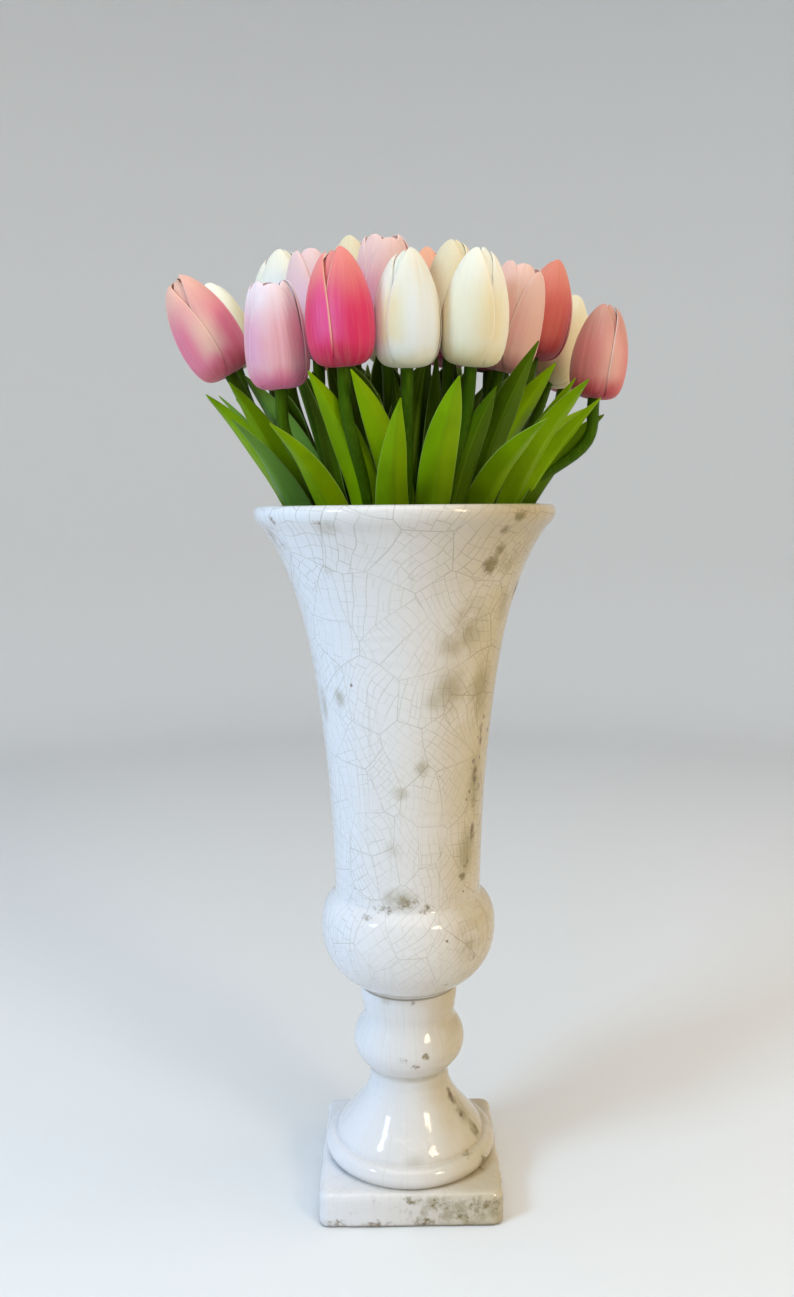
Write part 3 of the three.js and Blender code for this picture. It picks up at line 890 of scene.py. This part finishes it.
class TULIP_OT_stems(bpy.types.Operator):
    """Draws every stem from the bowl's floor to its bloom"""

    bl_idname = "tulips.stems"
    bl_label = "Stems"

    def execute(self, context):
        size = context.scene.tulip_stem
        finish = stem_finish(size)
        for number, tulip in enumerate(TULIPS, 1):
            points = stem_points(tulip)
            points.append(points[-1] + bloom_axis(tulip) * STEM_OVERLAP)
            curve = curve_through("stem_line", [p * MM for p in points])
            for point in curve.data.splines[0].points[-STEM_COLLAR_STEPS:]:
                point.radius = STEM_COLLAR
            stem = titled(swept(curve, size.radius, capped=True), f"stem_skin_{number:02d}")
            fix(stem, f"stem_{number:02d}", finish)
        return {"FINISHED"}


# ---- The leaves ----
SHEATH_START = 336.0
SHEATH_LENGTH = 26.0
# The sheath's clearance round its stem and its thickness, in metres.
SHEATH_GAP = 0.0003
SHEATH_WALL = 0.0010
LEAF_ROWS = 26
LEAF_COLUMNS = 8
RIB_POINTS = 28
# How high a leaf's sides rise against its width, and how sharply they rise from its rib.
LEAF_LIFT = 0.84
LEAF_CUP = 1.15
# Where across a leaf its ripples lie, and how high they are.
EDGE_WAVES = ((-0.5, 0.045), (0.5, 0.045), (-0.375, 0.02), (0.375, 0.02))


def leaf_width(share, widest, blunt):
    """A leaf's width along its length, against its widest: narrow at the sheath, then a long point."""
    rise = 0.4 + 0.6 * math.sin(math.pi / 2 * min(1, share / widest))
    fall = 1 - max(0, (share - widest) / (1 - widest)) ** blunt
    return max(rise * fall, 0.02)


def leaf_hollow(share):
    """How deep a leaf's fold is: it clasps the stem at the sheath and opens towards the tip."""
    return 1.4 - 0.55 * min(1, share / 0.5)


def model_leaf(name, widest, blunt, ripples):
    """A flat grid of unit length and width, drawn to a leaf's outline, folded along its rib and rippled.

    Each ripple is a swing in degrees, how often it turns along the leaf, and where it starts.
    """
    deselect()
    bpy.ops.mesh.primitive_grid_add(
        x_subdivisions=LEAF_ROWS, y_subdivisions=LEAF_COLUMNS, size=1, location=(0.5, 0, 0))
    leaf = newest(name)
    lay_out(leaf, lambda co: (co.y + 0.5, co.x))
    with editing(leaf):
        for column in range(LEAF_COLUMNS + 1):
            across = column / LEAF_COLUMNS - 0.5
            pick(leaf, lambda co: abs(co.y - across) < 1e-4)
            bpy.ops.transform.translate(value=(0, 0, LEAF_LIFT * abs(across) ** LEAF_CUP))
        for row in range(LEAF_ROWS + 1):
            share = row / LEAF_ROWS
            width = leaf_width(share, widest, blunt)
            rib = (share, 0, 0)
            for edge, reach in EDGE_WAVES:
                pick(leaf, lambda co: abs(co.x - share) < 1e-4 and abs(co.y - edge) < 1e-4)
                wave = reach * math.sin(share * 13 + 4 * edge + ripples[0][2]) * (1 - share)
                bpy.ops.transform.translate(value=(0, 0, wave))
            pick(leaf, lambda co: abs(co.x - share) < 1e-4)
            bpy.ops.transform.resize(value=(1, width, width * leaf_hollow(share)), center_override=rib)
            swing = sum(size * math.sin(share * turns + start) for size, turns, start in ripples) * share
            bpy.ops.transform.rotate(value=math.radians(swing), orient_axis="X", center_override=rib)
    return leaf


def leaf_rib(points, tulip, leaf, index):
    """A leaf's rib in millimetres, and how far its section turns at each point."""
    base, along = at_height(points, SHEATH_START + SHEATH_LENGTH * (0.1 + 0.2 * index))
    tip = Vector(leaf.tip)
    facing = Vector((base.x + 2 * tip.x, base.y + 2 * tip.y, 0)).normalized()
    knee = base + along * (0.5 * (tip - base).length) + Vector((*leaf.bow, 0))
    start = base + facing * 4.4
    line = []
    tilts = []
    for i in range(RIB_POINTS):
        t = i / (RIB_POINTS - 1)
        line.append(start * (1 - t) ** 2 + knee * (2 * t * (1 - t)) + tip * t * t)
        tangent = ((knee - start) * (1 - t) + (tip - knee) * t).normalized()
        inward = -(facing - tangent * facing.dot(tangent)).normalized()
        inward.rotate(Matrix.Rotation(math.radians(leaf.roll) * (0.4 + 0.6 * t), 3, tangent))
        level = (UP - tangent * UP.dot(tangent)).normalized()
        tilt = math.atan2(tangent.dot(level.cross(inward)), level.dot(inward))
        if tilts:
            tilt += math.tau * round((tilts[-1] - tilt) / math.tau)
        tilts.append(tilt)
    return line, tilts


def leaf_finish(size):
    """Satin green with fine parallel veins, a pale margin and a pale rib, darkened by painted shade towards
    the sheath and on the leaves of low paleness.
    """
    f = Finish("leaf_skin")
    across, along = f.uv()
    pale = f.attribute("pale")
    where = f.place()
    side = abs(across - 0.5) * 2.0
    veins = f.noise(f.vector(across * 26.0, along * 1.6, pale * 7.0), 1.0, 2.0, 0.6)
    fine = (across * 210.0 + f.noise(where, 40.0) * 2.0).sine()
    blotch = f.noise(where, 34.0, 2.0)
    bright = f.mix(pale.ramp(0.40, 1.0), size.bright, size.sage)
    # Painted shade: each blade darkens to the deep green towards its sheath.
    colour = f.mix(along.ramp(0.12, 0.58) * 0.75 + blotch.ramp(0.35, 0.7) * 0.25, size.deep, bright)
    # Painted shade: leaves of low paleness, at the back and inside the bunch, and the sheaths are darkened
    # towards black-green.
    colour = f.mix(pale.ramp(0.0, 0.32, 0.92, 0.0), colour, (0.003, 0.020, 0.002))
    colour = f.mix(veins.ramp(0.40, 0.75) * 0.13, colour, (0.22, 0.38, 0.01))
    colour = f.mix(fine.ramp(-1.0, 1.0, 0.0, 0.10), colour, (0.02, 0.08, 0.001))
    colour = f.mix(side.ramp(0.90, 0.985) * 0.55, colour, (0.34, 0.50, 0.14))
    colour = f.mix(side.ramp(0.0, 0.07, 0.20, 0.0), colour, (0.20, 0.38, 0.04))
    relief = veins * 0.6 + fine * 0.16 + side.ramp(0.0, 0.12)
    normal = f.bump(relief, 0.35, 0.0006)
    shine = {"Specular_IOR_Level": 0.24, "Specular_Tint": (0.62, 0.85, 0.03)}
    return f.done(Base_Color=colour, Roughness=0.36 + veins * 0.16, Normal=normal, **shine)


class TULIP_OT_leaves(bpy.types.Operator):
    """Models three leaf blades and bends copies of them out of each sheath"""

    bl_idname = "tulips.leaves"
    bl_label = "Leaves"

    def execute(self, context):
        size = context.scene.tulip_leaf
        stem_radius = context.scene.tulip_stem.radius
        finish = leaf_finish(size)
        blades = (
            model_leaf("blade_even", 0.42, 1.9, ((5, 9, 0.4), (3, 17, 1.0))),
            model_leaf("blade_wavy", 0.52, 2.4, ((9, 7, 2.2), (4, 15, 0.2))),
            model_leaf("blade_broad", 0.62, 3.0, ((6, 6, 1.2), (3, 13, 0.6))),
        )
        for number, tulip in enumerate(TULIPS, 1):
            if not tulip.leaves:
                continue
            points = stem_points(tulip)
            parts = [self.bend(blades[2 if i == 3 else (number + i) % 2], points, tulip, leaf, i, size)
                     for i, leaf in enumerate(tulip.leaves)]
            parts.append(self.sheath(points, stem_radius))
            leaves = join(parts, f"leaf_blades_{number:02d}")
            fix(leaves, f"leaves_{number:02d}", finish)
        discard(*blades)
        return {"FINISHED"}

    def bend(self, blade, points, tulip, leaf, index, size):
        """One blade, bent along its own rib and given its thickness."""
        line, tilts = leaf_rib(points, tulip, leaf, index)
        length = sum((b - a).length for a, b in pairwise(line))
        rib = curve_through("rib", [p * MM for p in line], tilts)
        piece = copy_of(blade, "leaf")
        width = leaf.width * MM
        place(piece, Matrix.Diagonal((length * MM, width, width, 1)))
        bent = piece.modifiers.new("bent", "CURVE")
        bent.object = rib
        bent.deform_axis = "POS_X"
        apply_all(piece)
        thicken(piece, size.thickness, 0)
        smooth(piece)
        apply_all(piece)
        set_attribute(piece, "pale", leaf.pale)
        discard(rib)
        return piece

    def sheath(self, points, radius):
        """The short tube in which the leaves clasp their stem."""
        ends = [SHEATH_START + SHEATH_LENGTH * i / 6 for i in range(7)]
        middle = [at_height(points, height)[0] for height in ends]
        curve = curve_through("sheath_line", [p * MM for p in middle])
        sheath = swept(curve, radius + SHEATH_GAP)
        lay_out(sheath, lambda co: (0.3, 0.02))
        thicken(sheath, SHEATH_WALL, 1)
        apply_all(sheath)
        # Painted shade: the sheath's low paleness darkens it towards black-green.
        set_attribute(sheath, "pale", 0.2)
        return sheath


# ---- The blooms ----
# A petal's rib as radius and height, and its width at each point against the full arc.
PETAL_RIBS = {
    "tight": (
        (3.4, 0.2), (9.3, 0.7), (13.5, 2.8), (16.0, 7.4), (17.2, 14), (17.6, 21), (17.0, 30),
        (15.4, 38), (13.2, 45), (10.7, 50.4), (8.2, 54.4), (5.8, 56.9), (4.0, 57.9)),
    "loose": (
        (3.4, 0.2), (9.2, 0.7), (13.3, 2.8), (15.8, 7.4), (17.0, 14), (17.3, 21), (16.7, 30),
        (15.2, 38), (12.9, 45), (10.2, 50.6), (7.8, 54.6), (5.6, 57.2), (4.2, 58.2)),
    "open": (
        (3.4, 0.2), (9.2, 0.7), (13.5, 2.8), (16.1, 7.2), (17.3, 13), (17.5, 20), (16.9, 30),
        (15.9, 38), (14.6, 45), (13.2, 50.6), (11.6, 54.8), (10.2, 57.4), (9.0, 58.4)),
}
PETAL_WIDTHS = (0.60, 0.76, 0.90, 0.98, 1.0, 1.0, 0.98, 0.94, 0.87, 0.77, 0.64, 0.46, 0.19)
PETAL_ARC = 67.5
PETAL_SIDES = 32
PETAL_TWIST = 1.8
INNER_CLOSE = 0.30
# A petal's full height and the least radius of its rib, in millimetres.
PETAL_HEIGHT = 58
LEAST_RADIUS = 1.2
# How deep the groove along a petal's rib is, in metres, and the share of its radius that a flank keeps.
PETAL_GROOVE = 0.0004
FLANK_TUCK = 0.968
# Where the front petal hinges, in metres, and an inner petal's least height against the full one.
PETAL_HINGE = (0, -0.004, 0.001)
INNER_HEIGHT = 0.975
# The three petals of a ring: how tall each is against the full height, and how far it leans out in degrees.
PETAL_STANCES = {
    "tight": ((1.0, 0.0), (0.985, 0.2), (0.965, 0.3)),
    "loose": ((1.0, 0.0), (0.98, 0.3), (0.88, 0.7)),
    "open": ((0.94, 0.6), (1.0, 0.6), (0.98, 0.5)),
}


def model_petal(name, rib, tuck, close, hand, size):
    """One petal at the front of a bloom: rings raised along its rib, then drawn in to its outline.

    An inner petal is tucked inside the outer ones, and its tip closes in by a share of its radius.
    """
    rib = [(max(radius * (1 - close * (height / PETAL_HEIGHT) ** 6) - tuck, LEAST_RADIUS), height)
           for radius, height in rib]
    first_radius, first_height = rib[0]
    last_height = rib[-1][1]
    twist = math.radians(PETAL_TWIST * hand)
    deselect()
    bpy.ops.mesh.primitive_circle_add(
        vertices=PETAL_SIDES, radius=first_radius * MM, location=(0, 0, first_height * MM))
    petal = newest(name)
    with editing(petal):
        pick(petal, lambda co: abs(bearing_of(co)) > PETAL_ARC + 1)
        bpy.ops.mesh.delete(type="VERT")
        bpy.ops.mesh.select_all(action="SELECT")
        draw_up(rib)
    lay_out(petal, lambda co: (0.5 + bearing_of(co) / (2 * PETAL_ARC), co.z / (last_height * MM)))
    face_outwards(petal)
    with editing(petal):
        pick(petal, lambda co: abs(co.x) < 1e-6 and 0.010 < co.z < 0.054)
        bpy.ops.transform.translate(value=(0, PETAL_GROOVE, 0))
        pick(petal, lambda co: abs(bearing_of(co)) > PETAL_ARC - 2 and co.z > 0.004)
        bpy.ops.transform.resize(value=(FLANK_TUCK, FLANK_TUCK, 1), center_override=(0, 0, 0))
        for (radius, height), width in zip(rib, PETAL_WIDTHS):
            pick(petal, lambda co: abs(co.z - height * MM) < 1e-5)
            on_rib = (0, -radius * MM, height * MM)
            bpy.ops.transform.resize(value=(width, width ** 2, 1), center_override=on_rib)
            bpy.ops.transform.rotate(value=twist, orient_axis="Z", center_override=on_rib)
    thicken(petal, size.thickness, -1)
    smooth(petal)
    apply_all(petal)
    return petal


def petal_finish(name, colours):
    """Soft petal skin: colour runs from base to tip, changes on the flanks and along the margin."""
    tip, belly, base, flank, edge = ([part / 100 for part in colour] for colour in colours)
    f = Finish(f"petal_{name}")
    across, along = f.uv()
    tint = f.attribute("tint")
    side = abs(across - 0.5) * 2.0
    streaks = f.noise(f.vector(across * 22.0, along * 1.8, tint * 9.0), 1.0, 3.0, 0.6)
    drift = f.noise(f.vector(across * 3.0, along * 2.4, tint * 5.0), 1.0, 2.0)
    height = along + (drift - 0.5) * 0.22
    colour = f.mix(height.ramp(0.42, 0.95), belly, tip)
    # The flanks take their own tint. On the white finish that tint is partly painted warm light.
    flank_tint_and_warm_light = side.ramp(0.25, 0.85) * height.ramp(0.10, 0.30) * height.ramp(0.45, 0.85, 1.0, 0.0)
    colour = f.mix(flank_tint_and_warm_light * (0.65 + drift * 0.5), colour, flank)
    colour = f.mix(height.ramp(0.02, 0.24, 0.9, 0.0), colour, base)
    # A thin strip along each margin: partly the petal's own paler edge, partly a painted highlight on the
    # rim.
    colour = f.mix(side.ramp(0.93, 0.985) * along.ramp(0.10, 0.35) * 0.75, colour, edge)
    pale = f.mix(0.30, colour, edge)
    colour = f.mix(streaks.ramp(0.40, 0.75) * 0.30, colour, pale)
    deep = f.mix(1.0, colour, (0.88, 0.80, 0.80), "MULTIPLY")
    colour = f.mix(tint * 0.5, colour, deep)
    normal = f.bump(streaks + side.ramp(0.0, 0.10) * 0.5, 0.34, 0.0008)
    glow = {"Subsurface_Weight": 0.28, "Subsurface_Radius": (1.0, 0.55, 0.4), "Subsurface_Scale": 0.004}
    shine = {"Sheen_Weight": 0.12, "Specular_IOR_Level": 0.35}
    return f.done(Base_Color=colour, Roughness=0.52 + streaks * 0.12, Normal=normal, **glow, **shine)


class TULIP_OT_blooms(bpy.types.Operator):
    """Models the petals and gathers copies of them into the blooms"""

    bl_idname = "tulips.blooms"
    bl_label = "Blooms"

    def execute(self, context):
        size = context.scene.tulip_bloom
        tuck = size.tuck / MM
        petals = {}
        for form, rib in PETAL_RIBS.items():
            for hand in (-1, 1):
                close = 0.0 if form == "open" else INNER_CLOSE
                outer = model_petal(f"{form}_outer", rib, 0, 0, hand, size)
                inner = model_petal(f"{form}_inner", rib, tuck, close, hand, size)
                petals[form, hand] = (outer, inner)
        finishes = {name: petal_finish(name, colours) for name, (_, *colours) in PETAL_FINISHES.items()}
        dice = random.Random(23)
        for number, tulip in enumerate(TULIPS, 1):
            bloom = self.gather(number, tulip, petals[tulip.form, tulip.hand], dice)
            fix(bloom, f"bloom_{number:02d}", finishes[tulip.finish])
        discard(*(petal for pair in petals.values() for petal in pair))
        return {"FINISHED"}

    def gather(self, number, tulip, pair, dice):
        """Three outer and three inner petals round one axis, set on their stem."""
        parts = []
        for ring, petal in enumerate(pair):
            for k in range(3):
                part = copy_of(petal, "petal")
                tall, out = PETAL_STANCES[tulip.form][k]
                if ring == 1:
                    tall = max(tall, INNER_HEIGHT)
                turn = Matrix.Rotation(math.radians(120 * k + 60 * ring), 4, "Z")
                hinge = Matrix.Translation(PETAL_HINGE)
                lean = Matrix.Rotation(math.radians(out if ring == 0 else 0), 4, "X")
                stretch = Matrix.Diagonal((1, 1, tall * dice.uniform(0.985, 1.0), 1))
                place(part, turn @ hinge @ lean @ hinge.inverted() @ stretch)
                set_attribute(part, "tint", dice.random())
                parts.append(part)
        bloom = join(parts, f"petals_{number:02d}")
        upright = UP.rotation_difference(bloom_axis(tulip)).to_matrix().to_4x4()
        turn = Matrix.Rotation(math.radians(tulip.turn), 4, "Z")
        at = Matrix.Translation(Vector(tulip.at) * MM)
        place(bloom, at @ upright @ turn @ Matrix.Scale(tulip.size, 4))
        return bloom


# ---- The stage ----
STAGE_RADIUS = 1.7
# The backdrop starts this far in from the floor's rim, rises this high and is rounded by this much.
SWEEP_RIM = 0.45
SWEEP_HEIGHT = 2.2
SWEEP_BEND = 0.4
CAMERA_PLACE = (-0.0049, -0.625, 0.3983)
CAMERA_DIP = 7.23
CAMERA_ROLL = -0.56
ROOM_TINT = (0.95, 0.97, 1.0)
ROOM_LIGHT = 0.36
# Each soft light: its place, the point on the axis that it faces, its two sides, power and colour.
LIGHTS = {
    "window": ((-0.95, -0.70, 1.00), (0, 0, 0.28), (0.34, 0.40), 11.0, (0.50, 0.75, 1.0)),
    "lamp": ((0.78, -0.90, 0.92), (0, 0, 0.28), (0.26, 0.34), 4.4, (1.0, 0.82, 0.56)),
    "glow": ((1.25, -0.05, 0.55), (0, 0, 0.25), (0.8, 1.1), 4.6, (1.0, 0.76, 0.46)),
    "pane": ((-0.92, -0.68, 0.98), (0, 0, 0.28), (0.18, 0.27), 2.0, (0.70, 0.86, 1.0)),
    "ceiling": ((0.0, -0.35, 1.45), (0, 0, 0.2), (1.3, 1.3), 9.0, (1.0, 0.97, 0.92)),
}


def soft_light(name, where, towards, size, power, colour):
    """A rectangular lamp facing a point."""
    data = bpy.data.lights.new(name, "AREA")
    data.shape = "RECTANGLE"
    data.size, data.size_y = size
    data.energy = power
    data.color = colour
    lamp = bpy.data.objects.new(name, data)
    lamp.location = where
    lamp.rotation_euler = (Vector(towards) - Vector(where)).to_track_quat("-Z", "Y").to_euler()
    return link(lamp)


class TULIP_OT_stage(bpy.types.Operator):
    """Sets up the pale floor and backdrop, the camera and the soft lights"""

    bl_idname = "tulips.stage"
    bl_label = "Stage"

    def execute(self, context):
        size = context.scene.tulip_stage
        self.sweep(size)
        self.camera(size)
        lights = {name: soft_light(name, *values) for name, values in LIGHTS.items()}
        # The window and the glow light without a highlight. The pane is only the window's highlight.
        lights["window"].visible_glossy = False
        lights["glow"].visible_glossy = False
        lights["pane"].visible_diffuse = False
        world = bpy.data.worlds.new("room_light")
        world.use_nodes = True
        background = world.node_tree.nodes["Background"]
        background.inputs["Color"].default_value = (*ROOM_TINT, 1)
        background.inputs["Strength"].default_value = ROOM_LIGHT
        context.scene.world = world
        context.scene.view_settings.view_transform = "Standard"
        return {"FINISHED"}

    def sweep(self, size):
        """A round floor whose rim curves up into a backdrop all the way round."""
        deselect()
        bpy.ops.mesh.primitive_circle_add(vertices=96, radius=STAGE_RADIUS, fill_type="NGON")
        sweep = newest("sweep")
        with editing(sweep):
            bpy.ops.mesh.inset(thickness=SWEEP_RIM)
            pick(sweep, lambda co: co.xy.length > STAGE_RADIUS - 0.01)
            bpy.ops.mesh.extrude_edges_move(TRANSFORM_OT_translate={"value": (0, 0, SWEEP_HEIGHT)})
        bend = sweep.modifiers.new("curve", "BEVEL")
        bend.width = SWEEP_BEND
        bend.segments = 12
        bend.angle_limit = math.radians(60)
        apply_all(sweep)
        f = Finish("sweep_paper")
        z = f.split(f.place())[2]
        colour = f.mix(z.ramp(0.0, 0.35), size.floor, size.backdrop)
        sweep.data.materials.append(f.done(Base_Color=colour, Roughness=0.75))
        bpy.ops.object.shade_smooth()

    def camera(self, size):
        """The camera at the height of the vase's rim, looking a little down."""
        data = bpy.data.cameras.new("camera")
        data.sensor_width = 36
        data.lens = size.lens
        data.clip_start = 0.01
        camera = bpy.data.objects.new("camera", data)
        camera.rotation_mode = "QUATERNION"
        pitch = Matrix.Rotation(math.radians(90 - CAMERA_DIP), 4, "X")
        roll = Matrix.Rotation(math.radians(CAMERA_ROLL), 4, "Z")
        camera.rotation_quaternion = (pitch @ roll).to_quaternion()
        camera.location = CAMERA_PLACE
        bpy.context.scene.camera = link(camera)


class TULIP_PT_panel(bpy.types.Panel):
    """Lists the operators that model the tulips and their vase"""

    bl_idname = "TULIP_PT_panel"
    bl_label = "Tulips in a Vase"
    bl_space_type = "VIEW_3D"
    bl_region_type = "UI"
    bl_category = "Tulips"

    def draw(self, context):
        for operator in OPERATORS:
            self.layout.operator(operator.bl_idname)
        for group in SETTINGS:
            box = self.layout.box()
            for name in group.__annotations__:
                box.prop(getattr(context.scene, SETTINGS[group]), name)


SETTINGS = {
    VaseSettings: "tulip_vase",
    StemSettings: "tulip_stem",
    LeafSettings: "tulip_leaf",
    BloomSettings: "tulip_bloom",
    StageSettings: "tulip_stage",
}
OPERATORS = (TULIP_OT_stage, TULIP_OT_vase, TULIP_OT_stems, TULIP_OT_leaves, TULIP_OT_blooms)


def register():
    for group, name in SETTINGS.items():
        bpy.utils.register_class(group)
        setattr(bpy.types.Scene, name, bpy.props.PointerProperty(type=group))
    for made in (*OPERATORS, TULIP_PT_panel):
        bpy.utils.register_class(made)


def unregister():
    for made in reversed((*OPERATORS, TULIP_PT_panel)):
        bpy.utils.unregister_class(made)
    for group, name in SETTINGS.items():
        delattr(bpy.types.Scene, name)
        bpy.utils.unregister_class(group)


def main():
    register()
    bpy.ops.tulips.stage()
    bpy.ops.tulips.vase()
    bpy.ops.tulips.stems()
    bpy.ops.tulips.leaves()
    bpy.ops.tulips.blooms()


if __name__ == "__main__":
    main()
